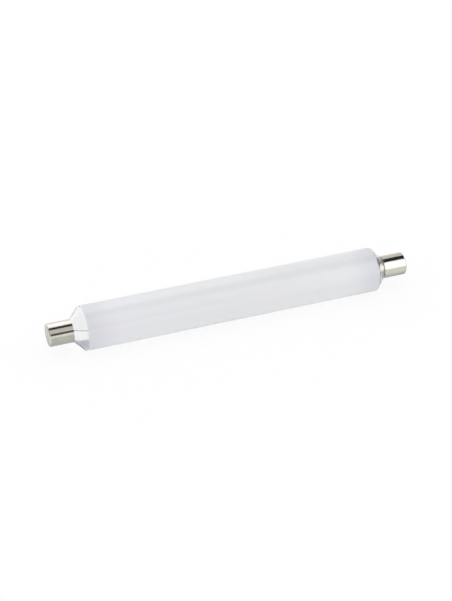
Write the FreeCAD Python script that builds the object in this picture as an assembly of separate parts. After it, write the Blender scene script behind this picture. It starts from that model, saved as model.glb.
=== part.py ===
"""Double-ended tubular filament lamp: an inside-frosted glass tube with a plated cap at each end.

Millimetres. The lamp lies along X, with +Z up, and its origin is the middle of the tube's axis.
The end with the sealed-off exhaust tube is at +X, and is called right. The left end is the same
assembly turned half round about Z, with its lead on the axis and no exhaust tube.
"""

import FreeCAD
import Part

import math
import os

Vector = FreeCAD.Vector

# Glass bulb
overall_length = 310.0
bulb_diameter = 37.0
glass_wall = 0.8
shoulder_length = 8.5
shoulder_rounding = 2.5
neck_rounding = 2.0
neck_end_setback = 7.0

# Caps
cap_diameter = 19.0
cap_length = 20.0
cap_wall = 0.35
cap_end_rounding = 1.2
mouth_bell = 0.2
mouth_bell_length = 1.4
mouth_bell_rounding = 5.0
mouth_gap = 0.1
dish_diameter = 7.0
dish_depth = 0.5
dish_slant = 0.8
lead_hole_diameter = 1.6

# Capping cement
cement_thickness = 0.85
cement_setback = 0.5
neck_bare_length = 3.0

# Glass stems
stem_tube_diameter = 8.0
stem_wall = 0.9
flare_radius = 3.0
stem_tube_length = 3.5
press_length = 6.0
press_taper = 2.0
press_width = 9.0
press_thickness = 3.2
exhaust_diameter = 3.2
exhaust_wall = 0.6
exhaust_tip_beyond_flare = 2.2
exhaust_vent_diameter = 1.2

# Wires in the stems
outer_lead_diameter = 0.5
seal_wire_diameter = 0.4
inner_lead_diameter = 0.6
press_wire_spacing = 4.8
lead_in_glass = 1.0
seal_wire_showing = 0.5
solder_reach = 0.4

# Inner leads
wire_straight_start = 1.0
wire_bend_radius = 1.5
lead_slant_length = 11.5
lead_reach = 22.0
lead_turn_radius = 1.0
lead_loop_angle = 240.0
loop_clearance = 0.05

# Filament and its supports
filament_diameter = 0.6
filament_drop = 1.9
filament_tail = 1.5
hook_wire_diameter = 0.35
hook_clearance = 0.15
hook_loop_angle = 280.0
hook_count = 6
hook_margin = 14.0

# Glass arbor and the wires that hold it
arbor_diameter = 3.0
arbor_rise = 4.0
arbor_left_setback = 5.5
arbor_right_overhang = 4.5
anchor_diameter = 0.8
anchor_crank_length = 3.0
wire_in_glass = 4.0
bridge_straight = 2.5
bridge_drop_length = 3.0
bridge_weld_length = 3.0

# Solder in the cap ends
solder_diameter = 5.0
solder_below_rim = 0.1

half_length = overall_length / 2
bulb_radius = bulb_diameter / 2
cap_radius = cap_diameter / 2
cap_bore_radius = cap_radius - cap_wall
neck_radius = cap_bore_radius - cement_thickness
mouth_x = half_length - cap_length
tube_end_x = mouth_x - shoulder_length
neck_end_x = half_length - neck_end_setback
foot_radius = cap_bore_radius + mouth_bell - mouth_gap

stem_radius = stem_tube_diameter / 2
flare_start_x = neck_end_x - flare_radius
hollow_end_x = flare_start_x - stem_tube_length
press_face_x = hollow_end_x - press_length
press_flat_x = hollow_end_x - press_taper
stem_rim_x = neck_end_x + stem_wall
exhaust_tip_x = stem_rim_x + exhaust_tip_beyond_flare
dish_floor_x = half_length - dish_depth

filament_end_x = press_face_x - lead_reach
filament_z = -filament_drop
lead_loop_x = filament_end_x - filament_tail
lead_loop_radius = (filament_diameter + inner_lead_diameter) / 2 + loop_clearance
hook_loop_radius = (filament_diameter + hook_wire_diameter) / 2 + hook_clearance
arbor_left_x = -filament_end_x + arbor_left_setback
arbor_right_x = filament_end_x + arbor_right_overhang


def at(x, r):
    """A point of a meridian: x along the lamp's axis, r out from it."""
    return Vector(x, 0, r)


def line(a, b):
    return Part.LineSegment(a, b).toShape()


def arc(a, middle, b):
    return Part.Arc(a, middle, b).toShape()


def quarter_round(center, start, end):
    """The quarter circle about a centre from one point to another."""
    out_to_start = start - center
    out_to_middle = (out_to_start + (end - center)).normalize()
    return arc(start, center + out_to_middle * out_to_start.Length, end)


def rounded_path(points, radii, closed=False):
    """Straight edges through the points, with each corner rounded by its own radius."""
    count = len(points)
    corners = []
    for i, point in enumerate(points):
        is_end = not closed and i in (0, count - 1)
        if is_end or radii[i] <= 0:
            corners.append((point, None, point))
            continue
        back = (points[i - 1] - point).normalize()
        ahead = (points[(i + 1) % count] - point).normalize()
        half_angle = back.getAngle(ahead) / 2
        reach = radii[i] / math.tan(half_angle)
        bow = radii[i] / math.sin(half_angle) - radii[i]
        inward = (back + ahead).normalize()
        corners.append((point + back * reach, point + inward * bow, point + ahead * reach))
    edges = []
    for i, (start, middle, end) in enumerate(corners):
        if middle is not None:
            edges.append(arc(start, middle, end))
        if closed or i < count - 1:
            edges.append(line(end, corners[(i + 1) % count][0]))
    return edges


def turned(edges):
    """The solid that closed meridian edges make when they turn about the lamp's axis."""
    face = Part.Face(Part.Wire(edges))
    return face.revolve(Vector(0, 0, 0), Vector(1, 0, 0), 360)


def drawn_wire(edges, diameter):
    """A round wire of one diameter along tangent edges."""
    first = edges[0]
    heading = first.tangentAt(first.FirstParameter)
    section = Part.Circle(first.valueAt(first.FirstParameter), heading, diameter / 2)
    return Part.Wire(edges).makePipeShell([Part.Wire(section.toShape())], True, False)


def rod(x_start, x_end, diameter, y=0.0, z=0.0):
    """A straight round rod along X."""
    return Part.makeCylinder(diameter / 2, x_end - x_start, Vector(x_start, y, z), Vector(1, 0, 0))


def turned_to_left(shape):
    """The same piece at the left end: half a turn about Z."""
    left = shape.copy()
    left.rotate(Vector(0, 0, 0), Vector(0, 0, 1), 180)
    return left


def bulb_meridian(depth):
    """The bulb's points and roundings from neck to neck, at a depth under its outer surface."""
    slope = math.atan2(bulb_radius - foot_radius, shoulder_length)
    tube = bulb_radius - depth
    neck = neck_radius - depth
    cone_radius = bulb_radius - depth / math.cos(slope)
    tube_corner_x = tube_end_x + (cone_radius - tube) / math.tan(slope)
    neck_corner_x = tube_end_x + (cone_radius - neck) / math.tan(slope)
    right = [at(tube_corner_x, tube), at(neck_corner_x, neck), at(neck_end_x, neck)]
    left = [at(-point.x, point.z) for point in reversed(right)]
    radii = [shoulder_rounding - depth, neck_rounding + depth, 0.0]
    return left + right, radii[::-1] + radii


def glass_bulb():
    """One drawn glass tube, with both shoulders worked down to necks."""
    outer, outer_radii = bulb_meridian(0.0)
    inner, inner_radii = bulb_meridian(glass_wall)
    radii = outer_radii + inner_radii[::-1]
    return turned(rounded_path(outer + inner[::-1], radii, closed=True))


def bulb_outside():
    """Everything inside the bulb's outer surface, to shape the cement that lies against it."""
    points, radii = bulb_meridian(0.0)
    ends = [at(neck_end_x, 0), at(-neck_end_x, 0)]
    return turned(rounded_path(points + ends, radii + [0.0, 0.0], closed=True))


def cap_meridian(depth):
    """The right cap's points and roundings from mouth to lead hole, at a depth under its skin."""
    radius = cap_radius - depth
    end_x = half_length - depth
    points = [
        at(mouth_x, radius + mouth_bell),
        at(mouth_x + mouth_bell_length, radius),
        at(end_x, radius),
        at(end_x, dish_diameter / 2),
        at(end_x - dish_depth, dish_diameter / 2 - dish_slant),
        at(end_x - dish_depth, lead_hole_diameter / 2),
    ]
    return points, [0.0, mouth_bell_rounding, cap_end_rounding - depth, 0.0, 0.0, 0.0]


def right_cap():
    """A drawn cup with a belled mouth, and an end dished round the lead's hole."""
    outer, outer_radii = cap_meridian(0.0)
    inner, inner_radii = cap_meridian(cap_wall)
    radii = outer_radii + inner_radii[::-1]
    return turned(rounded_path(outer + inner[::-1], radii, closed=True))


def right_cement():
    """The baked ring that fills the space between neck and cap, from just inside the mouth."""
    points, radii = cap_meridian(cap_wall)
    hollow = points[:3] + [at(points[2].x, 0), at(mouth_x, 0)]
    cap_inside = turned(rounded_path(hollow, radii[:3] + [0.0, 0.0], closed=True))
    ring = rod(mouth_x + cement_setback, neck_end_x - neck_bare_length, cap_diameter)
    return ring.common(cap_inside).cut(bulb_outside())


def stem_skin(depth):
    """The stem's meridian from press to flare, at a depth under the side that faces the bulb."""
    radius = stem_radius - depth
    bend = flare_radius + depth
    center = at(flare_start_x, radius + bend)
    bend_end = at(flare_start_x + bend, radius + bend)
    return [
        line(at(hollow_end_x, 0), at(hollow_end_x, radius)),
        line(at(hollow_end_x, radius), at(flare_start_x, radius)),
        quarter_round(center, at(flare_start_x, radius), bend_end),
    ]


def flared_tube():
    """The stem's tube, opened out to a flare whose rim is sealed to the neck's end."""
    rim_radius = stem_radius + flare_radius
    full = turned(
        stem_skin(0.0)
        + [
            line(at(neck_end_x, rim_radius), at(neck_end_x, neck_radius)),
            line(at(neck_end_x, neck_radius), at(stem_rim_x, neck_radius)),
            line(at(stem_rim_x, neck_radius), at(stem_rim_x, 0)),
            line(at(stem_rim_x, 0), at(hollow_end_x, 0)),
        ]
    )
    hollow = turned(
        stem_skin(stem_wall)
        + [
            line(at(stem_rim_x, rim_radius), at(stem_rim_x, 0)),
            line(at(stem_rim_x, 0), at(hollow_end_x, 0)),
        ]
    )
    return full.cut(hollow)


def press_section(x, width, thickness):
    """An oval across the axis, wide in Y and thin in Z."""
    oval = Part.Ellipse(Vector(x, width / 2, 0), Vector(x, 0, thickness / 2), Vector(x, 0, 0))
    return Part.Wire(oval.toShape())


def press():
    """The stem's end, squeezed from round to a flat oval round its wires."""
    round_end = press_section(hollow_end_x, stem_tube_diameter, stem_tube_diameter)
    flat_start = press_section(press_flat_x, press_width, press_thickness)
    taper = Part.makeLoft([round_end, flat_start], True, True)
    flat = Part.Face(flat_start).extrude(Vector(press_face_x - press_flat_x, 0, 0))
    return taper.fuse(flat)


def closed_tube_end(start_x, radius):
    """A round-ended rod inside the exhaust tube's sealed tip, by its distance under the tube's skin."""
    tip_x = exhaust_tip_x - (exhaust_diameter / 2 - radius)
    center = at(tip_x - radius, 0)
    return turned(
        [
            line(at(start_x, 0), at(start_x, radius)),
            line(at(start_x, radius), at(tip_x - radius, radius)),
            quarter_round(center, at(tip_x - radius, radius), at(tip_x, 0)),
            line(at(tip_x, 0), at(start_x, 0)),
        ]
    )


def exhaust_tube():
    return closed_tube_end(hollow_end_x, exhaust_diameter / 2)


def exhaust_bore():
    """The exhaust tube's bore, and the vent that leads from it through the press into the bulb."""
    vent_x = (press_flat_x + hollow_end_x) / 2
    bore = closed_tube_end(vent_x, exhaust_diameter / 2 - exhaust_wall)
    vent = Part.makeCylinder(exhaust_vent_diameter / 2, stem_radius, Vector(vent_x, 0, 0))
    return bore.fuse(vent)


def loop_arc(x, radius, from_degrees, to_degrees):
    """An arc round the filament, across it. Angles start at +Y and turn towards +Z."""

    def point(degrees):
        angle = math.radians(degrees)
        return Vector(x, radius * math.cos(angle), filament_z + radius * math.sin(angle))

    return arc(point(from_degrees), point((from_degrees + to_degrees) / 2), point(to_degrees))


def inner_lead(y):
    """An inner lead: out of the press at y, slanting down beside the filament, and hooked round it."""
    slant_x = press_face_x - wire_straight_start
    run_z = filament_z - lead_loop_radius
    turn_start = Vector(lead_loop_x + lead_turn_radius, lead_turn_radius, run_z)
    turn_center = Vector(lead_loop_x + lead_turn_radius, 0, run_z)
    turn_end = Vector(lead_loop_x, 0, run_z)
    points = [
        Vector(press_face_x + lead_in_glass, y, 0),
        Vector(slant_x, y, 0),
        Vector(slant_x - lead_slant_length, lead_turn_radius, run_z),
        turn_start,
    ]
    edges = rounded_path(points, [0.0, wire_bend_radius, wire_bend_radius, 0.0])
    edges.append(quarter_round(turn_center, turn_start, turn_end))
    edges.append(loop_arc(lead_loop_x, lead_loop_radius, -90.0, -90.0 - lead_loop_angle))
    return drawn_wire(edges, inner_lead_diameter)


def seal_wire(y):
    """The short wire that the press is sealed round."""
    end_x = hollow_end_x + seal_wire_showing
    return rod(press_face_x + lead_in_glass, end_x, seal_wire_diameter, y)


def outer_lead(y):
    """The lead from the seal wire to the cap's end, past the exhaust tube where there is one."""
    start_x = hollow_end_x + seal_wire_showing
    tip_x = half_length - solder_below_rim - solder_reach
    if y == 0:
        return rod(start_x, tip_x, outer_lead_diameter)
    points = [
        Vector(start_x, y, 0),
        Vector(exhaust_tip_x, y, 0),
        Vector(dish_floor_x - cap_wall - outer_lead_diameter, 0, 0),
        Vector(tip_x, 0, 0),
    ]
    radii = [0.0, outer_lead_diameter, outer_lead_diameter, 0.0]
    return drawn_wire(rounded_path(points, radii), outer_lead_diameter)


def solder(lead):
    """Solder that fills the lead's hole and stands in the dish, just under the cap's rim."""
    hole_radius = lead_hole_diameter / 2
    edge_radius = solder_diameter / 2
    inside_x = dish_floor_x - cap_wall
    crown_x = half_length - solder_below_rim
    rise = crown_x - dish_floor_x
    dome_radius = (edge_radius**2 + rise**2) / (2 * rise)
    half_angle = math.asin(edge_radius / dome_radius) / 2
    middle = at(crown_x - dome_radius * (1 - math.cos(half_angle)), dome_radius * math.sin(half_angle))
    blob = turned(
        [
            line(at(inside_x, 0), at(inside_x, hole_radius)),
            line(at(inside_x, hole_radius), at(dish_floor_x, hole_radius)),
            line(at(dish_floor_x, hole_radius), at(dish_floor_x, edge_radius)),
            arc(at(dish_floor_x, edge_radius), middle, at(crown_x, 0)),
            line(at(crown_x, 0), at(inside_x, 0)),
        ]
    )
    return blob.cut(lead)


def filament():
    """The coiled filament, as one slim rod of the coil's outer diameter."""
    return rod(-filament_end_x, filament_end_x, filament_diameter, 0.0, filament_z)


def arbor_anchor():
    """The stiff wire from the right press, cranked up into the end of the arbor."""
    y = -press_wire_spacing / 2
    crank_x = press_face_x - wire_straight_start
    points = [
        Vector(press_face_x + wire_in_glass, y, 0),
        Vector(crank_x, y, 0),
        Vector(crank_x - anchor_crank_length, 0, arbor_rise),
        Vector(arbor_right_x - wire_in_glass, 0, arbor_rise),
    ]
    radii = [0.0, wire_bend_radius, wire_bend_radius, 0.0]
    return drawn_wire(rounded_path(points, radii), anchor_diameter)


def arbor_bridge():
    """The wire that ties the arbor's free end to the left inner lead, and is welded alongside it."""
    run_z = filament_z - lead_loop_radius
    run_y = -lead_turn_radius - inner_lead_diameter - loop_clearance
    drop_x = arbor_left_x - bridge_straight
    weld_x = drop_x - bridge_drop_length
    points = [
        Vector(arbor_left_x + wire_in_glass, 0, arbor_rise),
        Vector(drop_x, 0, arbor_rise),
        Vector(weld_x, run_y, run_z),
        Vector(weld_x - bridge_weld_length, run_y, run_z),
    ]
    radii = [0.0, wire_bend_radius, wire_bend_radius, 0.0]
    return drawn_wire(rounded_path(points, radii), inner_lead_diameter)


def filament_support(x):
    """A thin hook: its shank is set in the arbor, and its pigtail holds the filament."""
    shank_top = Vector(x, hook_loop_radius, arbor_rise)
    shank_foot = Vector(x, hook_loop_radius, filament_z)
    pigtail = loop_arc(x, hook_loop_radius, 0.0, -hook_loop_angle)
    return drawn_wire([line(shank_top, shank_foot), pigtail], hook_wire_diameter)


def filament_supports():
    """The hooks, evenly spaced along the arbor."""
    first_x = arbor_left_x + hook_margin
    last_x = arbor_right_x - hook_margin
    step = (last_x - first_x) / (hook_count - 1)
    return [filament_support(first_x + i * step) for i in range(hook_count)]


def end_pieces(wire_y, has_exhaust, glass_wires=()):
    """The pieces of a right-hand end, with its leads at wire_y, by name."""
    inner = inner_lead(wire_y)
    seal = seal_wire(wire_y)
    outer = outer_lead(wire_y)
    stem = flared_tube().fuse(press())
    if has_exhaust:
        stem = stem.fuse(exhaust_tube()).cut(exhaust_bore())
    for wire in (inner, seal, *glass_wires):
        stem = stem.cut(wire)
    return {
        "cap": right_cap(),
        "cement": right_cement(),
        "stem": stem,
        "inner_lead": inner,
        "seal_wire": seal,
        "outer_lead": outer,
        "solder": solder(outer),
    }


def lamp():
    """Every piece of the lamp, by the name of its node."""
    anchor = arbor_anchor()
    bridge = arbor_bridge()
    supports = filament_supports()
    arbor = rod(arbor_left_x, arbor_right_x, arbor_diameter, 0.0, arbor_rise)
    for wire in (anchor, bridge, *supports):
        arbor = arbor.cut(wire)

    pieces = {"glass_bulb": glass_bulb()}
    for name, shape in end_pieces(press_wire_spacing / 2, True, (anchor,)).items():
        pieces[f"right_{name}"] = shape
    for name, shape in end_pieces(0.0, False).items():
        pieces[f"left_{name}"] = turned_to_left(shape)
    pieces["filament"] = filament()
    pieces["support_arbor"] = arbor
    pieces["arbor_anchor"] = anchor
    pieces["arbor_bridge"] = bridge
    for i, support in enumerate(supports, start=1):
        pieces[f"filament_support_{i}"] = support
    return pieces


def main():
    os.makedirs("parts", exist_ok=True)
    for name, shape in lamp().items():
        solid = shape.removeSplitter()
        solid.exportStep(f"parts/{name}.step")
        print(f"{name}: {len(solid.Solids)} solid, {solid.Volume:.2f} mm3, valid {solid.isValid()}")


main()
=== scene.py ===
"""The looks of a double-ended tubular filament lamp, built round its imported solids.

Sizes are in millimetres and become metres where a mesh is made. The lamp lies along X on a pale
floor, with its axis through the origin, and the end with the exhaust tube is at +X.
"""

import logging
import math
from collections.abc import Callable
from dataclasses import dataclass, field
from enum import Enum
from functools import cache

import bmesh
import bpy
from mathutils import Matrix, Vector


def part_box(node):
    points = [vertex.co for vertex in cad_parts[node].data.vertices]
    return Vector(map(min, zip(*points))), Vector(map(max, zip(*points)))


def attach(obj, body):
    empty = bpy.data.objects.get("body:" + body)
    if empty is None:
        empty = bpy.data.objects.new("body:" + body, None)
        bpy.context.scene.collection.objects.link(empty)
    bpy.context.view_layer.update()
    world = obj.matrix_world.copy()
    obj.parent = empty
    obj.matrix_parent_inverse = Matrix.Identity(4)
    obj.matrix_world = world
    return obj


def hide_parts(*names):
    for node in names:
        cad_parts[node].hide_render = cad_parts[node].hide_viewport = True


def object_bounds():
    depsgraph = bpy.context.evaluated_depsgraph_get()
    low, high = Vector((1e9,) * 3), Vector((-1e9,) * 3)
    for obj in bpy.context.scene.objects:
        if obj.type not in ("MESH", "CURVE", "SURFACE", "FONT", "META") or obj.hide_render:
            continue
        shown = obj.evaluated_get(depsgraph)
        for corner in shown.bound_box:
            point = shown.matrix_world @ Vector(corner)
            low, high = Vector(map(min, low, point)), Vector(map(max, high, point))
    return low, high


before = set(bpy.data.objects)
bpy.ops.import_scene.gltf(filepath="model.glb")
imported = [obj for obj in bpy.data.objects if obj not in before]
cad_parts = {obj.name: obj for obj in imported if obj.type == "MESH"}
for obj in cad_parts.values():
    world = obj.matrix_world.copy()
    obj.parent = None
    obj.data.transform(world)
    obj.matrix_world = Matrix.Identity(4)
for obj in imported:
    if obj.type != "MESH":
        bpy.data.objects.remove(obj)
cad_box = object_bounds()

MM = 0.001
BODY = "root"
# Points nearer than this, in metres, are one point: on a turned piece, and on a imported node's copy.
TURNED_WELD = 1e-7
COPY_WELD = 1e-6
# A rounding has a facet for each so many degrees that it turns, and never fewer than the least.
FACET_DEGREES = 7.0
LEAST_FACETS = 3
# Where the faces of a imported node's copy meet at more than this, in degrees, the edge stays sharp.
COPY_SHARP_EDGE = 35.0
# Most values of a random pattern lie between these.
PATTERN_RANGE = (0.3, 0.7)

Tree = bpy.types.NodeTree
Socket = bpy.types.NodeSocket
Pair = tuple[float, float]
Xyz = tuple[float, float, float]

log = logging.getLogger("lamp")


class End(Enum):
    """The two ends of the lamp, by the way that each points along X."""

    LEFT = -1
    RIGHT = 1

    @property
    def label(self) -> str:
        """The word that starts the names of this end's nodes."""
        return self.name.lower()


class RayKind(Enum):
    """Kinds of ray that a surface may answer in its own way."""

    CAMERA = "Is Camera Ray"
    SHADOW = "Is Shadow Ray"
    DIFFUSE = "Is Diffuse Ray"
    GLOSSY = "Is Glossy Ray"
    TRANSMISSION = "Is Transmission Ray"


class Detail(Enum):
    """How many finer layers a random pattern has."""

    SOFT = 2.0
    FINE = 3.0
    GRITTY = 4.0


class BulbSkin(Enum):
    """The bulb's finishes, by the number that its faces have for each."""

    CLEAR = 0
    FROSTED = 1
    SATIN = 2


def linear(hex_colour: str) -> tuple[float, float, float, float]:
    """Turns an sRGB colour into the linear one that shaders use.

    Args:
        hex_colour: the colour as "#RRGGBB".

    Returns:
        Linear red, green and blue, and an alpha of 1.
    """
    channels = [int(hex_colour[i : i + 2], 16) / 255 for i in (1, 3, 5)]
    red, green, blue = (c / 12.92 if c <= 0.04045 else ((c + 0.055) / 1.055) ** 2.4 for c in channels)
    return red, green, blue, 1.0


def add_node(tree: Tree, kind: str, inputs: dict | None = None, **settings: object) -> bpy.types.Node:
    """Adds a node with its settings, its values and its links.

    Args:
        tree: the node tree that gets the node.
        kind: Blender's name for the kind of node.
        inputs: a value, or an output socket to link, for each input by name or number.
        settings: the node's own properties.

    Returns:
        The new node.
    """
    node = tree.nodes.new(kind)
    for name, value in settings.items():
        setattr(node, name, value)
    for key, value in (inputs or {}).items():
        if isinstance(value, Socket):
            tree.links.new(value, node.inputs[key])
        else:
            node.inputs[key].default_value = value
    return node


def new_material(name: str, surface: Callable[[Tree], Socket]) -> bpy.types.Material:
    """Makes a material from the nodes of its surface.

    Args:
        name: the material's name.
        surface: adds the surface's nodes to a tree, and gives the socket that holds its shader.

    Returns:
        The material.
    """
    material = bpy.data.materials.new(name)
    material.use_nodes = True
    tree = material.node_tree
    tree.nodes.clear()
    add_node(tree, "ShaderNodeOutputMaterial", {"Surface": surface(tree)})
    return material


def own_place(tree: Tree) -> bpy.types.Node:
    """Gives the node whose X, Y and Z outputs say where a point of the object is, in metres."""
    where = add_node(tree, "ShaderNodeTexCoord")
    return add_node(tree, "ShaderNodeSeparateXYZ", {0: where.outputs["Object"]})


def distance_off(tree: Tree, axis: str, middle: float) -> Socket:
    """How far a point of the object is from a plane across one axis, either way.

    Args:
        tree: the node tree.
        axis: the axis, "X", "Y" or "Z".
        middle: where the plane crosses it, in millimetres.

    Returns:
        The socket that holds the distance, in metres.
    """
    offset = add_node(
        tree, "ShaderNodeMath", {0: own_place(tree).outputs[axis], 1: middle * MM}, operation="SUBTRACT"
    )
    return add_node(tree, "ShaderNodeMath", {0: offset.outputs[0]}, operation="ABSOLUTE").outputs[0]


def change_along(
    tree: Tree,
    axis: str,
    limits: Pair,
    shares: Pair = (0.0, 1.0),
    middle: float | None = None,
    eased: bool = False,
) -> Socket:
    """A share that changes between two places on the object.

    Args:
        tree: the node tree.
        axis: the axis that the places lie on, "X", "Y" or "Z".
        limits: the two places, in millimetres.
        shares: the share up to the first place and the one from the second on.
        middle: where the places are measured from, both ways, or None for places on the axis itself.
        eased: whether the change starts and ends softly.

    Returns:
        The socket that holds the share.
    """
    place = own_place(tree).outputs[axis] if middle is None else distance_off(tree, axis, middle)
    start, end = limits
    return add_node(
        tree,
        "ShaderNodeMapRange",
        {
            "Value": place,
            "From Min": start * MM,
            "From Max": end * MM,
            "To Min": shares[0],
            "To Max": shares[1],
        },
        interpolation_type="SMOOTHSTEP" if eased else "LINEAR",
    ).outputs["Result"]


def patches(tree: Tree, cell: Xyz, detail: Detail = Detail.SOFT) -> Socket:
    """A random pattern of soft patches on the object.

    Args:
        tree: the node tree.
        cell: the size of a patch along X, Y and Z, in millimetres.
        detail: how fine the patches' own pattern is.

    Returns:
        The socket that holds the pattern's value.
    """
    where = add_node(tree, "ShaderNodeTexCoord")
    scale = tuple(1 / (size * MM) for size in cell)
    placed = add_node(tree, "ShaderNodeMapping", {"Vector": where.outputs["Object"], "Scale": scale})
    return add_node(
        tree, "ShaderNodeTexNoise", {"Vector": placed.outputs[0], "Scale": 1.0, "Detail": detail.value}
    ).outputs["Fac"]


def mottle(tree: Tree, cell: Xyz, low: str, high: str, detail: Detail = Detail.SOFT) -> Socket:
    """Blends two colours in soft patches.

    Args:
        tree: the node tree.
        cell: the size of a patch along X, Y and Z, in millimetres.
        low: one colour, as "#RRGGBB".
        high: the other colour.
        detail: how fine the patches' own pattern is.

    Returns:
        The socket that holds the colour.
    """
    ramp = add_node(tree, "ShaderNodeValToRGB", {"Fac": patches(tree, cell, detail)})
    for stop, position, colour in zip(ramp.color_ramp.elements, PATTERN_RANGE, (low, high)):
        stop.position = position
        stop.color = linear(colour)
    return ramp.outputs["Color"]


def grain(tree: Tree, cell: Xyz, depth: float) -> Socket:
    """Makes the normals of a fine relief.

    Args:
        tree: the node tree.
        cell: the size of a grain along X, Y and Z, in millimetres.
        depth: the height of the relief, in millimetres.

    Returns:
        The socket that holds the normals.
    """
    relief = {"Height": patches(tree, cell), "Distance": depth * MM, "Strength": 1.0}
    return add_node(tree, "ShaderNodeBump", relief).outputs["Normal"]


def clear_glass(tree: Tree, tint: str, ior: float, normal: Socket, roughness: float = 0.0) -> Socket:
    """A glass surface that lets the light of the studio straight through to what is behind.

    Args:
        tree: the node tree of the finish.
        tint: the glass's colour.
        ior: its refractive index.
        normal: the socket that holds its normals.
        roughness: how much it blurs what it mirrors and shows.

    Returns:
        The shader's socket.
    """
    glass = add_node(
        tree,
        "ShaderNodeBsdfPrincipled",
        {
            "Base Color": linear(tint),
            "Roughness": roughness,
            "IOR": ior,
            "Transmission Weight": 1.0,
            "Normal": normal,
        },
    )
    open_air = add_node(tree, "ShaderNodeBsdfTransparent", {"Color": linear(tint)})
    ray = add_node(tree, "ShaderNodeLightPath")
    lit_through = add_node(
        tree,
        "ShaderNodeMath",
        {0: ray.outputs[RayKind.SHADOW.value], 1: ray.outputs[RayKind.DIFFUSE.value]},
        operation="MAXIMUM",
    )
    return add_node(
        tree,
        "ShaderNodeMixShader",
        {"Fac": lit_through.outputs[0], 1: glass.outputs[0], 2: open_air.outputs[0]},
    ).outputs[0]


def covered(tree: Tree, under: Socket, share: Socket | float, layer: dict) -> Socket:
    """Lays a matt layer over part of a surface.

    Args:
        tree: the node tree of the finish.
        under: the socket that holds the surface's shader.
        share: how much of the surface the layer hides.
        layer: the layer's colour, roughness and other values.

    Returns:
        The socket that holds the shader of both.
    """
    matt = add_node(tree, "ShaderNodeBsdfPrincipled", layer)
    return add_node(tree, "ShaderNodeMixShader", {"Fac": share, 1: under, 2: matt.outputs[0]}).outputs[0]


@dataclass(frozen=True)
class Finish:
    """The finish of one real material, named for it and for how its surface was made."""

    name: str

    def surface(self, tree: Tree) -> Socket:
        """Adds the finish's nodes and gives the socket that holds its shader."""
        raise NotImplementedError

    @cache
    def material(self) -> bpy.types.Material:
        """Makes the material, once for all the pieces that share it."""
        return new_material(self.name, self.surface)


@dataclass(frozen=True)
class DrawnGlass(Finish):
    """Drawn glass, fire-polished: clear, with a faint lengthwise ripple from the drawing."""

    tint: str
    ior: float
    ripple: Xyz = (60.0, 4.0, 4.0)
    ripple_depth: float = 0.012
    roughness: float = 0.0

    def rippled(self, tree: Tree) -> Socket:
        """The normals of the glass's ripple."""
        return grain(tree, self.ripple, self.ripple_depth)

    def surface(self, tree: Tree) -> Socket:
        """The clear glass."""
        return clear_glass(tree, self.tint, self.ior, self.rippled(tree), self.roughness)


@dataclass(frozen=True)
class PaintedSpot:
    """A ragged spot painted on the glass before a cap's mouth: a painted highlight where it is pale, a
    painted dark reflection where it is dark.

    Its place round the lamp is an angle in degrees, from the front at -Y up towards the top.
    """

    before_mouth: float
    reach: float
    angle: float
    half_angle: float
    dark: str
    light: str
    cover: float
    patch: Xyz = (1.2, 1.2, 1.2)
    raggedness: float = 0.9
    full_part: float = 0.5
    roughness: float = 0.7

    def laid_on(self, tree: Tree, glass: Socket, mouth: float) -> Socket:
        """Lays the painted spot on the glass.

        Args:
            tree: the node tree of the finish.
            glass: the socket that holds the glass's shader.
            mouth: where the cap's mouth is, along the lamp.

        Returns:
            The socket that holds the shader of both.
        """
        place = own_place(tree)
        forwards = add_node(tree, "ShaderNodeMath", {0: place.outputs["Y"], 1: -1.0}, operation="MULTIPLY")
        turn = add_node(
            tree, "ShaderNodeMath", {0: place.outputs["Z"], 1: forwards.outputs[0]}, operation="ARCTAN2"
        )
        spot = add_node(tree, "ShaderNodeCombineXYZ", {"X": place.outputs["X"], "Y": turn.outputs[0]})
        centred = add_node(
            tree,
            "ShaderNodeMapping",
            {
                "Vector": spot.outputs[0],
                "Location": ((self.before_mouth - mouth) / self.reach, -self.angle / self.half_angle, 0.0),
                "Scale": (1 / (self.reach * MM), 1 / math.radians(self.half_angle), 1.0),
            },
        )
        far_out = add_node(tree, "ShaderNodeVectorMath", {0: centred.outputs[0]}, operation="LENGTH")
        ragged = add_node(
            tree,
            "ShaderNodeMath",
            {0: patches(tree, self.patch, Detail.FINE), 1: self.raggedness, 2: far_out.outputs["Value"]},
            operation="MULTIPLY_ADD",
        )
        share = add_node(
            tree,
            "ShaderNodeMapRange",
            {
                "Value": ragged.outputs[0],
                "From Min": self.full_part + self.raggedness / 2,
                "From Max": 1.0 + self.raggedness / 2,
                "To Min": self.cover,
                "To Max": 0.0,
            },
            interpolation_type="SMOOTHSTEP",
        )
        cement = {"Base Color": mottle(tree, self.patch, self.dark, self.light), "Roughness": self.roughness}
        return covered(tree, glass, share.outputs["Result"], cement)


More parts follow.
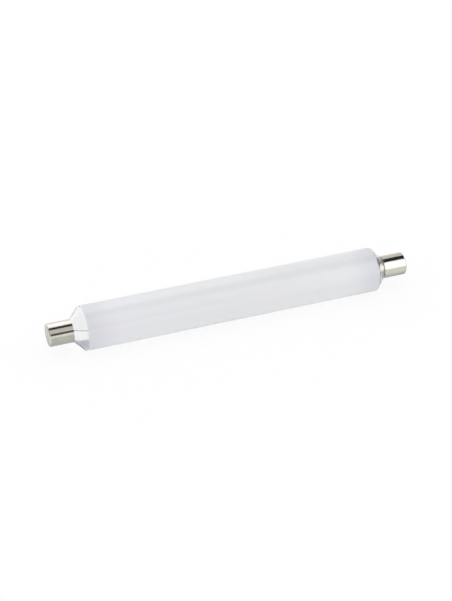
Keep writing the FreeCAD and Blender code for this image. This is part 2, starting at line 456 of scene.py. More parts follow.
@dataclass(frozen=True)
class GlassWithPaintedLight(DrawnGlass):
    """Drawn glass with painted light by the right cap's mouth: a dark ring of painted shade, and painted
    spots on the shoulder.
    """

    mouth: float = 0.0
    # Painted shade: a dark brown ring on the glass at the cap's mouth stands in for the cap's dark mouth
    # seen in the glass, left off on one side.
    shade_ring_dark: str = "#3E342E"
    shade_ring_light: str = "#5F5240"
    shade_ring_roughness: float = 0.85
    shade_ring_middle: float = 2.1
    shade_ring_length: float = 3.4
    shade_ring_patch: Xyz = (1.5, 1.5, 1.5)
    shade_ring_cover: float = 0.95
    shade_ring_open_side: Xyz = (0.0, 0.35, -0.94)
    shade_ring_open_from: Pair = (6.0, 6.8)
    painted_spots: tuple[PaintedSpot, ...] = (
        # Painted highlight: a near-white spot on the right shoulder.
        PaintedSpot(4.4, 4.4, 33.0, 14.0, "#F4EDE6", "#FFFBF6", 0.9),
        # Painted dark reflection: a small dark spot higher on the right shoulder.
        PaintedSpot(7.6, 0.9, 51.0, 16.0, "#4A4347", "#5E565A", 0.78),
    )

    def shade_ring_share(self, tree: Tree) -> Socket:
        """How much of the glass the painted shade covers: a ring at the mouth, left off on one side.

        Args:
            tree: the node tree of the finish.

        Returns:
            The socket that holds the share.
        """
        limits = (self.shade_ring_length / 2, self.shade_ring_length)
        ring = change_along(tree, "X", limits, (self.shade_ring_cover, 0.0), self.mouth + self.shade_ring_middle)
        where = add_node(tree, "ShaderNodeTexCoord")
        towards = add_node(
            tree,
            "ShaderNodeVectorMath",
            {0: where.outputs["Object"], 1: self.shade_ring_open_side},
            operation="DOT_PRODUCT",
        )
        start, end = self.shade_ring_open_from
        left_on = add_node(
            tree,
            "ShaderNodeMapRange",
            {
                "Value": towards.outputs["Value"],
                "From Min": start * MM,
                "From Max": end * MM,
                "To Min": 1.0,
                "To Max": 0.0,
            },
        )
        return add_node(
            tree, "ShaderNodeMath", {0: ring, 1: left_on.outputs["Result"]}, operation="MULTIPLY"
        ).outputs[0]

    def surface(self, tree: Tree) -> Socket:
        """The clear glass with its ring of painted shade and its painted spots.

        Args:
            tree: the node tree of the finish.

        Returns:
            The socket that holds the shader.
        """
        shade_ring = {
            "Base Color": mottle(tree, self.shade_ring_patch, self.shade_ring_dark, self.shade_ring_light),
            "Roughness": self.shade_ring_roughness,
            "Normal": self.rippled(tree),
        }
        surface = covered(tree, super().surface(tree), self.shade_ring_share(tree), shade_ring)
        for painted_spot in self.painted_spots:
            surface = painted_spot.laid_on(tree, surface, self.mouth)
        return surface


@dataclass(frozen=True)
class PressedGlass(DrawnGlass):
    """Lead glass squeezed flat while soft: clear, and clouded a warm white where the tongs chilled it."""

    cloud_low: str = "#F3E6DA"
    cloud_high: str = "#FFFAF4"
    cloud_patch: Xyz = (2.0, 2.0, 2.0)
    cloud_roughness: float = 0.5
    cloudiness: float = 0.75

    def surface(self, tree: Tree) -> Socket:
        """The clear glass with its clouds.

        Args:
            tree: the node tree of the finish.

        Returns:
            The socket that holds the shader.
        """
        cloud = {
            "Base Color": mottle(tree, self.cloud_patch, self.cloud_low, self.cloud_high),
            "Roughness": self.cloud_roughness,
            "IOR": self.ior,
            "Normal": self.rippled(tree),
        }
        return covered(tree, super().surface(tree), self.cloudiness, cloud)


@dataclass(frozen=True)
class InsideFrostedGlass(Finish):
    """The etched inner wall of a glass tube: a matt white bloom that thins to a veil on the shoulders."""

    frosted: Pair
    veils: Pair = (0.0, 0.1)
    thinness_from_inside: float = 0.94
    cool: str = "#E9ECF1"
    warm: str = "#EEEAF2"
    behind: str = "#FCFBFE"
    roughness: float = 0.55
    passes_light: float = 0.65
    tint: str = "#FBFCFC"
    ior: float = 1.52
    fade_length: float = 1.6
    fade_grain: Xyz = (0.5, 0.5, 0.5)
    # Painted shade: the light through the etch greys to this towards the frost's ends.
    dim: str = "#EDEEF3"
    dim_length: float = 28.0
    patch: Xyz = (26.0, 14.0, 14.0)
    # The etch's own grain is a few hundredths of a millimetre, too fine to show, so it is drawn at 0.5 mm.
    etch: Xyz = (0.5, 0.5, 0.5)
    etch_depth: float = 0.01

    @property
    def middle(self) -> float:
        """The middle of the frosted part."""
        return sum(self.frosted) / 2

    @property
    def half_length(self) -> float:
        """Half the length of the frosted part."""
        return (self.frosted[1] - self.frosted[0]) / 2

    def dimmed(self, tree: Tree) -> Socket:
        """The colour of the light through the etch, greyed towards the frost's ends by painted shade.

        Args:
            tree: the node tree of the finish.

        Returns:
            The socket that holds the colour.
        """
        ends = (self.half_length - self.dim_length, self.half_length)
        near_end = change_along(tree, "X", ends, middle=self.middle, eased=True)
        return add_node(
            tree,
            "ShaderNodeMix",
            {"Factor": near_end, 6: linear(self.behind), 7: linear(self.dim)},
            data_type="RGBA",
            blend_type="MULTIPLY",
        ).outputs[2]

    def frost_share(self, tree: Tree) -> Socket:
        """How much of the wall is frosted, from 1 on the straight tube to a thin veil past its ends.

        Seen from inside, through a clear shoulder, the etch hides less of the white surroundings.

        Args:
            tree: the node tree of the finish.

        Returns:
            The socket that holds the share.
        """
        ragged = add_node(
            tree,
            "ShaderNodeMath",
            {
                0: patches(tree, self.fade_grain, Detail.FINE),
                1: self.fade_length * MM,
                2: distance_off(tree, "X", self.middle),
            },
            operation="MULTIPLY_ADD",
        )
        full = add_node(
            tree,
            "ShaderNodeMapRange",
            {
                "Value": ragged.outputs[0],
                "From Min": self.half_length * MM,
                "From Max": (self.half_length + self.fade_length) * MM,
                "To Min": 1.0,
                "To Max": 0.0,
            },
            interpolation_type="SMOOTHSTEP",
        )
        veil = change_along(tree, "X", self.frosted, self.veils)
        whole = add_node(tree, "ShaderNodeMath", {0: full.outputs["Result"], 1: veil}, operation="MAXIMUM")
        side = add_node(tree, "ShaderNodeNewGeometry")
        hides = add_node(
            tree,
            "ShaderNodeMapRange",
            {"Value": side.outputs["Backfacing"], "To Min": 1.0 - self.thinness_from_inside, "To Max": 1.0},
        )
        return add_node(
            tree, "ShaderNodeMath", {0: whole.outputs[0], 1: hides.outputs["Result"]}, operation="MULTIPLY"
        ).outputs[0]

    def surface(self, tree: Tree) -> Socket:
        """The frost over the clear wall.

        Args:
            tree: the node tree of the finish.

        Returns:
            The socket that holds the shader.
        """
        normal = grain(tree, self.etch, self.etch_depth)
        glow = add_node(tree, "ShaderNodeBsdfTranslucent", {"Color": self.dimmed(tree), "Normal": normal})
        bloom = {
            "Base Color": mottle(tree, self.patch, self.cool, self.warm),
            "Roughness": self.roughness,
            "IOR": self.ior,
            "Normal": normal,
        }
        frost = covered(tree, glow.outputs[0], 1.0 - self.passes_light, bloom)
        clear = clear_glass(tree, self.tint, self.ior, normal)
        return add_node(
            tree, "ShaderNodeMixShader", {"Fac": self.frost_share(tree), 1: clear, 2: frost}
        ).outputs[0]


@dataclass(frozen=True)
class Metal(Finish):
    """A metal surface: its colour, how sharply it mirrors, and the marks that its making left."""

    dark: str
    light: str
    roughness: Pair
    patch: Xyz
    marks: Xyz
    marks_depth: float

    def surface(self, tree: Tree) -> Socket:
        """The metal, rubbed rougher in places.

        Args:
            tree: the node tree of the finish.

        Returns:
            The socket that holds the shader.
        """
        least, most = PATTERN_RANGE
        smooth, rough = self.roughness
        rubbed = add_node(
            tree,
            "ShaderNodeMapRange",
            {
                "Value": patches(tree, self.marks, Detail.FINE),
                "From Min": least,
                "From Max": most,
                "To Min": smooth,
                "To Max": rough,
            },
        )
        metal = {
            "Base Color": mottle(tree, self.patch, self.dark, self.light),
            "Metallic": 1.0,
            "Roughness": rubbed.outputs["Result"],
            "Normal": grain(tree, self.marks, self.marks_depth),
        }
        return add_node(tree, "ShaderNodeBsdfPrincipled", metal).outputs[0]


@dataclass(frozen=True)
class BakedCement(Finish):
    """Capping cement, baked hard: matt, gritty and pale, darkened to brown by painted shade further into the
    cap.
    """

    pale_end: float
    dark: str = "#F1E8DA"
    light: str = "#FCF8F2"
    # Painted shade: deeper inside the cap the cement is darkened towards this brown.
    deep_shade: str = "#A89272"
    deep_shade_length: float = 1.6
    roughness: float = 0.85
    patch: Xyz = (1.2, 1.2, 1.2)
    grit: Xyz = (0.3, 0.3, 0.3)
    grit_depth: float = 0.06

    def surface(self, tree: Tree) -> Socket:
        """The cement, darkened to brown by painted shade past its pale end.

        Args:
            tree: the node tree of the finish.

        Returns:
            The socket that holds the shader.
        """
        pale = mottle(tree, self.patch, self.dark, self.light, Detail.GRITTY)
        limits = (self.pale_end, self.pale_end + self.deep_shade_length)
        far_in = change_along(tree, "X", limits, middle=0.0, eased=True)
        colour = add_node(
            tree, "ShaderNodeMix", {"Factor": far_in, 6: pale, 7: linear(self.deep_shade)}, data_type="RGBA"
        )
        cement = {
            "Base Color": colour.outputs[2],
            "Roughness": self.roughness,
            "Normal": grain(tree, self.grit, self.grit_depth),
        }
        return add_node(tree, "ShaderNodeBsdfPrincipled", cement).outputs[0]


# Real marks of drawing and buffing are too fine to show, so all of them are drawn coarser.

# Nickel-plated brass, spun and buffed: mirror-like and a little warm, with fine marks round it.
NICKEL_PLATE = Metal(
    "nickel_plate_buffed", "#D3CEC6", "#DDD9D2", (0.13, 0.19), (7.0, 7.0, 7.0), (0.35, 6.0, 6.0), 0.0012
)
# Drawn nickel wire: pale grey and satin, with marks along it.
NICKEL_WIRE = Metal(
    "nickel_wire_drawn", "#9A958D", "#B3AFA8", (0.22, 0.35), (3.0, 3.0, 3.0), (2.0, 0.2, 0.2), 0.002
)
# Borated copper sheath of a seal wire: a dull brick red under the glass.
COPPER_SHEATH = Metal(
    "copper_sheath_borated", "#7E3B2C", "#A0523B", (0.4, 0.5), (1.0, 1.0, 1.0), (0.3, 0.3, 0.3), 0.004
)
# Drawn copper wire: salmon pink, going brown.
COPPER_WIRE = Metal(
    "copper_wire_drawn", "#A8623F", "#C98662", (0.25, 0.38), (2.0, 2.0, 2.0), (2.0, 0.2, 0.2), 0.002
)
# Drawn molybdenum wire: blue-grey and satin.
MOLYBDENUM = Metal(
    "molybdenum_wire_drawn", "#7C7E83", "#93959A", (0.25, 0.35), (1.0, 1.0, 1.0), (0.2, 0.2, 1.0), 0.001
)
# Coiled tungsten wire: dark grey, with a soft sheen.
TUNGSTEN = Metal(
    "tungsten_wire_coiled", "#5C5C60", "#75757A", (0.3, 0.42), (1.0, 1.0, 1.0), (0.2, 0.2, 0.2), 0.001
)
# Tin-lead solder, set from the melt: bright grey, with shallow frosty ripples.
SOLDER = Metal(
    "tin_lead_solder", "#B4B3B1", "#CFCECB", (0.22, 0.4), (1.5, 1.5, 1.5), (0.8, 0.8, 0.8), 0.03
)

# Soda-lime glass over the frost, lightly acid-dipped with it: satin, so it mirrors no sharp shapes.
SATIN_SKIN = DrawnGlass("soda_lime_glass_satin", "#FEFEFE", 1.52, roughness=0.24)
# Drawn lead glass rod: clear and a touch greener than the bulb, with short soft ripples.
LEAD_GLASS = DrawnGlass("lead_glass_drawn", "#F1F4EC", 1.56, (6.0, 3.0, 3.0), 0.02)
# The same glass pressed round the wires: mostly hidden by a warm white cloud.
STEM_GLASS = PressedGlass("lead_glass_pressed", "#F1F4EC", 1.56, (6.0, 3.0, 3.0), 0.02)


@dataclass(frozen=True)
class Corner:
    """A corner of a turned piece's meridian: its place along X, its radius and its rounding."""

    x: float
    r: float
    rounding: float = 0.0


def turned(corners: list[Corner], steps: int) -> bmesh.types.BMesh:
    """Turns a closed meridian about the lamp's axis.

    Args:
        corners: the meridian's corners in order, in millimetres. The last joins the first.
        steps: how many steps the turn has.

    Returns:
        The turned surface, with its faces outwards.
    """
    shape = bmesh.new()
    points = [shape.verts.new((corner.x * MM, 0, corner.r * MM)) for corner in corners]
    for point, following in zip(points, points[1:] + points[:1]):
        shape.edges.new((point, following))
    places = [point.co.copy() for point in points]
    for i, (point, corner) in enumerate(zip(points, corners)):
        if corner.rounding <= 0:
            continue
        back = places[i - 1] - places[i]
        ahead = places[(i + 1) % len(places)] - places[i]
        half_angle = back.angle(ahead) / 2
        turn = math.pi - 2 * half_angle
        bmesh.ops.bevel(
            shape,
            geom=[point],
            offset=corner.rounding * MM / math.tan(half_angle),
            offset_type="OFFSET",
            segments=max(LEAST_FACETS, round(turn / math.radians(FACET_DEGREES))),
            profile=0.5,
            affect="VERTICES",
            clamp_overlap=False,
            material=-1,
        )
    bmesh.ops.spin(
        shape,
        geom=shape.verts[:] + shape.edges[:],
        cent=(0, 0, 0),
        axis=(1, 0, 0),
        angle=math.tau,
        steps=steps,
        use_merge=True,
    )
    bmesh.ops.remove_doubles(shape, verts=shape.verts[:], dist=TURNED_WELD)
    bmesh.ops.recalc_face_normals(shape, faces=shape.faces[:])
    return shape


def new_object(shape: bmesh.types.BMesh, name: str, materials: list[bpy.types.Material]) -> bpy.types.Object:
    """Makes an object at the origin from its shape.

    Args:
        shape: the object's mesh, which is used up.
        name: the object's name.
        materials: its materials, in the order that its faces number them.

    Returns:
        The object.
    """
    mesh = bpy.data.meshes.new(name)
    shape.to_mesh(mesh)
    shape.free()
    for material in materials:
        mesh.materials.append(material)
    made = bpy.data.objects.new(name, mesh)
    bpy.context.scene.collection.objects.link(made)
    return made


def finished_piece(
    shape: bmesh.types.BMesh, name: str, finishes: list[Finish], slot: str, node: str, sharp_edge: float
) -> bpy.types.Object:
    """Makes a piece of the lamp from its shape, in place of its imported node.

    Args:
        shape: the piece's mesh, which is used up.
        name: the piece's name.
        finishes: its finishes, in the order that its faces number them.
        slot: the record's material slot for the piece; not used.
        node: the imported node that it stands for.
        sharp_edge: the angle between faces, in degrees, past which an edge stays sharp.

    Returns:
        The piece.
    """
    piece = new_object(shape, name, [finish.material() for finish in finishes])
    piece.data.shade_smooth()
    piece.data.set_sharp_from_angle(angle=math.radians(sharp_edge))
    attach(piece, BODY)
    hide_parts(node)
    log.info("%s: %d faces", name, len(piece.data.polygons))
    return piece


def smoothed_pieces(finishes: dict[str, tuple[Finish, str]]) -> list[bpy.types.Object]:
    """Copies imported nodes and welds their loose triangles, so that they can be shaded smooth.

    Args:
        finishes: the finish and the record's material slot for each node.

    Returns:
        The pieces.
    """
    pieces = []
    for node, (finish, slot) in finishes.items():
        shape = bmesh.new()
        shape.from_mesh(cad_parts[node].data)
        bmesh.ops.remove_doubles(shape, verts=shape.verts[:], dist=COPY_WELD)
        pieces.append(finished_piece(shape, f"{node}_smooth", [finish], slot, node, COPY_SHARP_EDGE))
    return pieces


@dataclass
class GlassBulb:
    """The bulb: one drawn glass tube with two clear shoulders and necks, frosted inside between them."""

    wall: float = 0.8
    shoulder_length: float = 8.5
    shoulder_rounding: float = 2.5
    foot_radius: float = 9.25
    neck_radius: float = 8.3
    neck_rounding: float = 2.0
    frost_setbacks: Pair = (1.3, 0.0)
    turn_steps: int = 144
    sharp_edge: float = 50.0
    radius: float = field(init=False)
    neck_end: float = field(init=False)
    mouth: float = field(init=False)

    def __post_init__(self) -> None:
        """Takes the bulb's radius and reach, and the caps' mouths, from the frame."""
        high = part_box("glass_bulb")[1]
        self.radius = high.z / MM
        self.neck_end = high.x / MM
        self.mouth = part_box("right_cap")[0].x / MM

    @property
    def tube_end(self) -> float:
        """Where the straight tube ends and the shoulder starts."""
        return self.mouth - self.shoulder_length

    def half_meridian(self, depth: float) -> list[Corner]:
        """The right half of the bulb's meridian, from the tube to the neck's end.

        Args:
            depth: how far under the outer surface it lies.

        Returns:
            Its corners.
        """
        slope = math.atan2(self.radius - self.foot_radius, self.shoulder_length)
        cone_radius = self.radius - depth / math.cos(slope)
        tube = self.radius - depth
        neck = self.neck_radius - depth
        tube_corner = self.tube_end + (cone_radius - tube) / math.tan(slope)
        neck_corner = self.tube_end + (cone_radius - neck) / math.tan(slope)
        return [
            Corner(tube_corner, tube, self.shoulder_rounding - depth),
            Corner(neck_corner, neck, self.neck_rounding + depth),
            Corner(self.neck_end, neck),
        ]

    def meridian(self) -> list[Corner]:
        """The bulb's whole meridian, out along its outer surface and back along the inner one.

        Returns:
            Its corners.
        """
        outer, inner = self.half_meridian(0.0), self.half_meridian(self.wall)
        mirrored_outer = [Corner(-c.x, c.r, c.rounding) for c in reversed(outer)]
        mirrored_inner = [Corner(-c.x, c.r, c.rounding) for c in inner]
        return mirrored_outer + outer + inner[::-1] + mirrored_inner

    def build(self) -> bpy.types.Object:
        """Makes the bulb: clear outside, etched inside, and satin over the straight tube's outside.

        Returns:
            The bulb.
        """
        shape = turned(self.meridian(), self.turn_steps)
        # The straight tube's outside is one ring of long faces, whose middles lie at the lamp's middle.
        for face in shape.faces:
            centre = face.calc_center_median()
            is_inner = Vector((centre.y, centre.z)).dot(Vector(face.normal[1:])) < 0
            if is_inner and abs(centre.x) < self.mouth * MM:
                face.material_index = BulbSkin.FROSTED.value
            elif abs(centre.x) < self.tube_end / 2 * MM:
                face.material_index = BulbSkin.SATIN.value
        left_setback, right_setback = self.frost_setbacks
        frosted = (left_setback - self.tube_end, self.tube_end - right_setback)
        skins = {
            BulbSkin.CLEAR: GlassWithPaintedLight("soda_lime_glass_drawn", "#FBFCFC", 1.52, mouth=self.mouth),
            BulbSkin.FROSTED: InsideFrostedGlass("inside_frosted_glass", frosted),
            BulbSkin.SATIN: SATIN_SKIN,
        }
        finishes = [skins[skin] for skin in BulbSkin]
        return finished_piece(shape, "bulb", finishes, "bulb_glass", "glass_bulb", self.sharp_edge)


@dataclass
class PlatedCap:
    """A drawn, plated metal cup: a belled mouth, a plain wall, and an end dished round the lead's hole."""

    end: End
    wall: float = 0.35
    end_rounding: float = 1.2
    bell: float = 0.2
    bell_length: float = 1.4
    bell_rounding: float = 5.0
    dish_diameter: float = 7.0
    dish_depth: float = 0.5
    dish_slant: float = 0.8
    hole_diameter: float = 1.6
    turn_steps: int = 128
    sharp_edge: float = 28.0

    def meridian(self, depth: float) -> list[Corner]:
        """The right cap's meridian from mouth to hole.

        Args:
            depth: how far under the cap's skin it lies.

        Returns:
            Its corners.
        """
        low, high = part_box("right_cap")
        mouth = low.x / MM
        radius = high.z / MM - self.bell - depth
        end = high.x / MM - depth
        return [
            Corner(mouth, radius + self.bell),
            Corner(mouth + self.bell_length, radius, self.bell_rounding),
            Corner(end, radius, self.end_rounding - depth),
            Corner(end, self.dish_diameter / 2),
            Corner(end - self.dish_depth, self.dish_diameter / 2 - self.dish_slant),
            Corner(end - self.dish_depth, self.hole_diameter / 2),
        ]

    def build(self) -> bpy.types.Object:
        """Makes the cap.

        Returns:
            The cap.
        """
        shape = turned(self.meridian(0.0) + self.meridian(self.wall)[::-1], self.turn_steps)
        if self.end is End.LEFT:
            bmesh.ops.rotate(shape, verts=shape.verts[:], matrix=Matrix.Rotation(math.pi, 3, "Z"))
        node = f"{self.end.label}_cap"
        return finished_piece(shape, f"{node}_plated", [NICKEL_PLATE], "nickel_plate", node, self.sharp_edge)


@dataclass
class CoiledFilament:
    """The filament: one fine wire wound in a close coil between the two inner leads."""

    wire_diameter: float = 0.13
    pitch: float = 0.26
    steps_in_turn: int = 9
    wire_sides: int = 5
    join_distance: float = 0.0065
    sharp_edge: float = 60.0

    def build(self) -> bpy.types.Object:
        """Winds one turn of the coil, and repeats it from end to end.

        Returns:
            The filament.
        """
        low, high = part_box("filament")
        middle = (low + high) / 2
        wire_radius = self.wire_diameter * MM / 2
        pitch = self.pitch * MM
        turns = int((high.x - low.x - 2 * wire_radius) / pitch)
        start = Vector((middle.x - turns * pitch / 2, middle.y, high.z - wire_radius))
        shape = bmesh.new()
        ring = bmesh.ops.create_circle(
            shape,
            radius=wire_radius,
            segments=self.wire_sides,
            matrix=Matrix.Translation(start) @ Matrix.Rotation(math.pi / 2, 4, "X"),
        )
        bmesh.ops.spin(
            shape,
            geom=list({edge for vert in ring["verts"] for edge in vert.link_edges}),
            cent=middle,
            axis=(1, 0, 0),
            dvec=(pitch / self.steps_in_turn, 0, 0),
            angle=math.tau,
            steps=self.steps_in_turn,
        )
        bmesh.ops.recalc_face_normals(shape, faces=shape.faces[:])
        coil = finished_piece(shape, "coiled_filament", [TUNGSTEN], "tungsten", "filament", self.sharp_edge)
        repeat = coil.modifiers.new("turns", "ARRAY")
        repeat.count = turns
        repeat.use_relative_offset = False
        repeat.use_constant_offset = True
        repeat.constant_offset_displace = (pitch, 0, 0)
        repeat.use_merge_vertices = True
        repeat.merge_threshold = self.join_distance * MM
        return coil


@dataclass
class StemMount:
    """The glass stem of one end, with its wires, the cement round its neck and the solder in its cap."""

    end: End
    # How far past the mouth the cement's painted shade starts.
    pale_depth: float = 5.2

    def build(self) -> list[bpy.types.Object]:
        """Makes the end's pieces.

        Returns:
            The pieces.
        """
        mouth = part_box("right_cap")[0].x / MM
        finishes = {
            "stem": (STEM_GLASS, "stem_glass"),
            "cement": (BakedCement("baked_cement", mouth + self.pale_depth), "cement"),
            "inner_lead": (NICKEL_WIRE, "nickel_wire"),
            "seal_wire": (COPPER_SHEATH, "copper_sheath"),
            "outer_lead": (COPPER_WIRE, "copper_wire"),
            "solder": (SOLDER, "solder"),
        }
        return smoothed_pieces({f"{self.end.label}_{part}": finish for part, finish in finishes.items()})


@dataclass
class FilamentSupport:
    """The glass arbor above the filament, the wires that hold it, and its thin hooks."""

    hook_count: int = 6

    def build(self) -> list[bpy.types.Object]:
        """Makes the support's pieces.

        Returns:
            The pieces.
        """
        finishes = {
            "support_arbor": (LEAD_GLASS, "stem_glass"),
            "arbor_anchor": (NICKEL_WIRE, "nickel_wire"),
            "arbor_bridge": (NICKEL_WIRE, "nickel_wire"),
        }
        for number in range(1, self.hook_count + 1):
            finishes[f"filament_support_{number}"] = (MOLYBDENUM, "molybdenum")
        return smoothed_pieces(finishes)


@dataclass(frozen=True)
class Card:
    """A flat card or softbox beside the set, which only mirrors see.

    Its corners are given as (x, y, z) in millimetres, in order round it.
    """

    name: str
    corners: tuple[Xyz, ...]
    colour: str
    strength: float

    def surface(self, tree: Tree) -> Socket:
        """The card's even glow."""
        glow = {"Color": linear(self.colour), "Strength": self.strength}
        return add_node(tree, "ShaderNodeEmission", glow).outputs[0]

    def build(self) -> bpy.types.Object:
        """Makes the card.

        Returns:
            The card.
        """
        shape = bmesh.new()
        points = [shape.verts.new(Vector(corner) * MM) for corner in self.corners]
        bmesh.ops.contextual_create(shape, geom=points)
        card = new_object(shape, self.name, [new_material(f"{self.name}_surface", self.surface)])
        card.visible_camera = card.visible_diffuse = card.visible_shadow = card.visible_transmission = False
        return card


@dataclass
class Studio:
    """A pale floor under soft, even light, with cards that the plated caps mirror."""

    floor_size: float = 9000.0
    floor_colour: str = "#F0F0F1"
    floor_glow: float = 0.85
    floor_glow_through_glass: float = 0.8
    table_mirrored: float = 1.0
    table_lighting: float = 0.45
    table_left: tuple[str, str] = ("#C3C9C9", "#D1D7D2")
    table_right: tuple[str, str] = ("#BCBFC0", "#F3F8F0")
    table_shade: Pair = (5.0, 25.0)
    table_lit: str = "#FFFFFF"
    table_lit_behind: Pair = (60.0, 160.0)
    table_lit_beside: Pair = (-158.0, -172.0)
    table_reach: float = 140.0
    shade_colour: str = "#A0A8B8"
    shade_reach: Pair = (6.8, 8.8)
    shade_end: Pair = (-128.0, -110.0)
    world_colour: str = "#FFFFFF"
    world_light: Pair = (0.86, 1.27)
    cards: tuple[Card, ...] = (
        Card(
            "overhead_gap",
            (
                (-700, -190, 1000),
                (-700, 180, 1000),
                (29, 277, 1000),
                (572, 680, 1000),
                (1000, 950, 1000),
                (1000, -260, 1000),
                (572, -230, 1000),
                (29, -205, 1000),
            ),
            "#000000",
            0.0,
        ),
        Card(
            "back_softbox",
            ((-700, 330, 880), (330, 330, 880), (330, 1000, 400), (-700, 1000, 400)),
            "#FFFFFF",
            1.5,
        ),
        Card(
            "back_wall",
            ((330, 490, 880), (1100, 490, 880), (1100, 1000, 160), (330, 1000, 160)),
            "#E2DEDB",
            1.0,
        ),
        Card(
            "left_wall",
            ((-1000, -700, 40), (-1000, 900, 40), (-1000, 900, 600), (-1000, -700, 600)),
            "#35312E",
            1.0,
        ),
        Card(
            "front_reflector",
            ((-700, -170, 950), (320, -170, 950), (320, -760, 740), (-700, -760, 740)),
            "#D9D6D3",
            1.0,
        ),
        Card(
            "camera_side_gap",
            ((-500, -740, 640), (300, -740, 640), (300, -960, 340), (-500, -960, 340)),
            "#4A453E",
            1.0,
        ),
        Card(
            "front_softbox",
            ((350, -340, 980), (1200, -340, 980), (1200, -1000, 40), (350, -1000, 40)),
            "#FFFFFF",
            1.7,
        ),
    )

    def answers(self, tree: Tree, shares: dict[RayKind, float]) -> Socket:
        """A share that depends on the kind of ray.

        Args:
            tree: the node tree.
            shares: the share for each kind of ray. Other kinds get none.

        Returns:
            The socket that holds the share.
        """
        ray = add_node(tree, "ShaderNodeLightPath")
        total = 0.0
        for kind, share in shares.items():
            own = add_node(
                tree, "ShaderNodeMath", {0: ray.outputs[kind.value], 1: share}, operation="MULTIPLY"
            )
            most = add_node(tree, "ShaderNodeMath", {0: total, 1: own.outputs[0]}, operation="MAXIMUM")
            total = most.outputs[0]
        return total

    def through_glass(self, tree: Tree) -> Socket:
        """Tells what is seen through the lamp's clear glass from all other views.

        Args:
            tree: the floor's node tree.

        Returns:
            The socket that holds 1 for what is seen through the glass.
        """
        ray = add_node(tree, "ShaderNodeLightPath")
        return add_node(
            tree,
            "ShaderNodeMath",
            {0: ray.outputs[RayKind.TRANSMISSION.value], 1: ray.outputs[RayKind.DIFFUSE.value]},
            operation="SUBTRACT",
            use_clamp=True,
        ).outputs[0]

    def shade_share(self, tree: Tree) -> Socket:
        """Where the left shoulder shows the cool shade that the lamp casts on the floor that it touches.

        Args:
            tree: the floor's node tree.

        Returns:
            The socket that holds the shade's share.
        """
        clear_of_lamp = add_node(
            tree,
            "ShaderNodeMath",
            {
                0: change_along(tree, "Y", self.shade_reach, middle=0.0),
                1: change_along(tree, "X", self.shade_end),
            },
            operation="MAXIMUM",
        )
        return add_node(
            tree,
            "ShaderNodeMath",
            {0: self.through_glass(tree), 1: clear_of_lamp.outputs[0]},
            operation="SUBTRACT",
            use_clamp=True,
        ).outputs[0]

    def lamp_view(self, tree: Tree) -> Socket:
        """Tells what the lamp mirrors or is lit by from what is seen straight or through its clear glass.

        Args:
            tree: the floor's node tree.

        Returns:
            The socket that holds the share for what the lamp itself sees.
        """
        shares = {RayKind.GLOSSY: self.table_mirrored, RayKind.DIFFUSE: self.table_lighting}
        return add_node(
            tree,
            "ShaderNodeMath",
            {0: self.answers(tree, shares), 1: self.through_glass(tree)},
            operation="SUBTRACT",
            use_clamp=True,
        ).outputs[0]

    def table(self, tree: Tree) -> Socket:
        """The floor as the lamp sees it: a grey table, greyer close to the lamp, where its shade falls.

        Args:
            tree: the floor's node tree.

        Returns:
            The socket that holds its shader.
        """
        out = change_along(tree, "Y", self.table_shade, middle=0.0)
        left, right = (
            add_node(
                tree,
                "ShaderNodeMix",
                {"Factor": out, 6: linear(shaded), 7: linear(clear)},
                data_type="RGBA",
            )
            for shaded, clear in (self.table_left, self.table_right)
        )
        along = change_along(tree, "X", (-self.table_reach, self.table_reach))
        colour = add_node(
            tree,
            "ShaderNodeMix",
            {"Factor": along, 6: left.outputs[2], 7: right.outputs[2]},
            data_type="RGBA",
        )
        behind = change_along(tree, "Y", self.table_lit_behind)
        beside = change_along(tree, "X", self.table_lit_beside)
        lit = add_node(tree, "ShaderNodeMath", {0: behind, 1: beside}, operation="MAXIMUM")
        whole = add_node(
            tree,
            "ShaderNodeMix",
            {"Factor": lit.outputs[0], 6: colour.outputs[2], 7: linear(self.table_lit)},
            data_type="RGBA",
        )
        return add_node(tree, "ShaderNodeEmission", {"Color": whole.outputs[2]}).outputs[0]

    def floor_surface(self, tree: Tree) -> Socket:
        """White paper with the lamp's soft shadow, a shade behind the shoulder, and the table mirrored.

        Args:
            tree: the floor's node tree.

        Returns:
            The socket that holds its shader.
        """
        glow = add_node(tree, "ShaderNodeEmission", {"Color": linear(self.world_colour), "Strength": 1.0})
        seen = self.answers(
            tree, {RayKind.CAMERA: self.floor_glow, RayKind.TRANSMISSION: self.floor_glow_through_glass}
        )
        paper = add_node(tree, "ShaderNodeBsdfDiffuse", {"Color": linear(self.floor_colour)})
        white = add_node(tree, "ShaderNodeMixShader", {"Fac": seen, 1: paper.outputs[0], 2: glow.outputs[0]})
        shade = add_node(tree, "ShaderNodeBsdfDiffuse", {"Color": linear(self.shade_colour)})
        shaded = add_node(
            tree,
            "ShaderNodeMixShader",
            {"Fac": self.shade_share(tree), 1: white.outputs[0], 2: shade.outputs[0]},
        )
        return add_node(
            tree,
            "ShaderNodeMixShader",
            {"Fac": self.lamp_view(tree), 1: shaded.outputs[0], 2: self.table(tree)},
        ).outputs[0]

    def build_floor(self) -> bpy.types.Object:
        """Makes the floor that the lamp lies on.

        Returns:
            The floor.
        """
        shape = bmesh.new()
        low = Matrix.Translation((0, 0, cad_box[0][2]))
        bmesh.ops.create_grid(shape, x_segments=1, y_segments=1, size=self.floor_size / 2 * MM, matrix=low)
        floor = new_object(shape, "floor", [new_material("floor_paper", self.floor_surface)])
        return floor

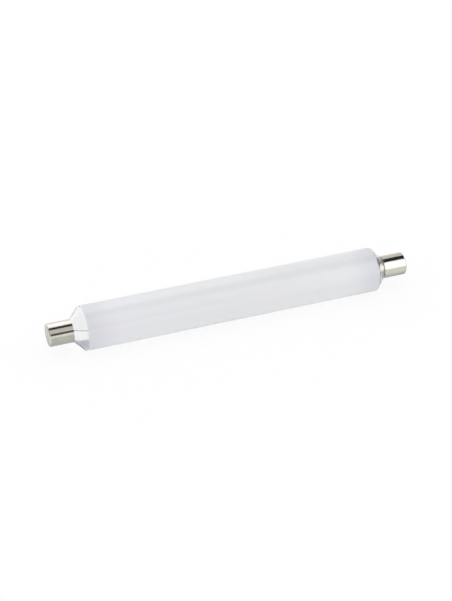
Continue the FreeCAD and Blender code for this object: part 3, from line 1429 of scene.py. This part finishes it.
    def build_world(self) -> bpy.types.World:
        """Makes the white surroundings, which light the lamp softly, and a little more from above.

        Returns:
            The world.
        """
        world = bpy.data.worlds.new("studio")
        world.use_nodes = True
        tree = world.node_tree
        tree.nodes.clear()
        towards = add_node(tree, "ShaderNodeTexCoord")
        height = add_node(tree, "ShaderNodeSeparateXYZ", {0: towards.outputs["Generated"]})
        beside, above = self.world_light
        strength = add_node(
            tree, "ShaderNodeMapRange", {"Value": height.outputs["Z"], "To Min": beside, "To Max": above}
        )
        light = add_node(
            tree,
            "ShaderNodeBackground",
            {"Color": linear(self.world_colour), "Strength": strength.outputs["Result"]},
        )
        seen = add_node(tree, "ShaderNodeBackground", {"Color": linear(self.world_colour), "Strength": 1.0})
        shares = {RayKind.CAMERA: 1.0, RayKind.GLOSSY: 1.0, RayKind.TRANSMISSION: 1.0}
        surface = add_node(
            tree,
            "ShaderNodeMixShader",
            {"Fac": self.answers(tree, shares), 1: light.outputs[0], 2: seen.outputs[0]},
        )
        add_node(tree, "ShaderNodeOutputWorld", {"Surface": surface.outputs[0]})
        bpy.context.scene.world = world
        return world

    def build(self) -> None:
        """Makes the floor, the surroundings and the cards."""
        self.build_floor()
        self.build_world()
        for card in self.cards:
            card.build()
        bpy.context.scene.view_settings.view_transform = "Standard"


@dataclass
class ProductCamera:
    """A long lens that looks down on the lamp from the front left."""

    place: Xyz = (-375.1, -1040.7, 773.9)
    lens: float = 98.3
    sensor: float = 36.0
    aim_left: float = 3.6
    aim_down: float = 2.0
    farthest_seen: float = 100000.0

    def build(self) -> bpy.types.Object:
        """Places the camera, level, with the lamp's middle just off the middle of its view.

        Returns:
            The camera.
        """
        place = Vector(self.place)
        turn = (-place).to_track_quat("-Z", "Y")
        aim = turn @ Vector((-self.aim_left, -self.aim_down, 0))
        data = bpy.data.cameras.new("camera")
        data.lens = self.lens
        data.sensor_width = self.sensor
        data.clip_end = self.farthest_seen * MM
        camera = bpy.data.objects.new("camera", data)
        camera.location = place * MM
        camera.rotation_euler = (aim - place).to_track_quat("-Z", "Y").to_euler()
        bpy.context.scene.collection.objects.link(camera)
        bpy.context.scene.camera = camera
        return camera


def main() -> None:
    """Builds the lamp's pieces, the studio and the camera."""
    logging.basicConfig(level=logging.INFO, format="%(message)s")
    GlassBulb().build()
    CoiledFilament().build()
    FilamentSupport().build()
    for end in End:
        PlatedCap(end).build()
        StemMount(end).build()
    Studio().build()
    ProductCamera().build()


if __name__ == "__main__":
    main()
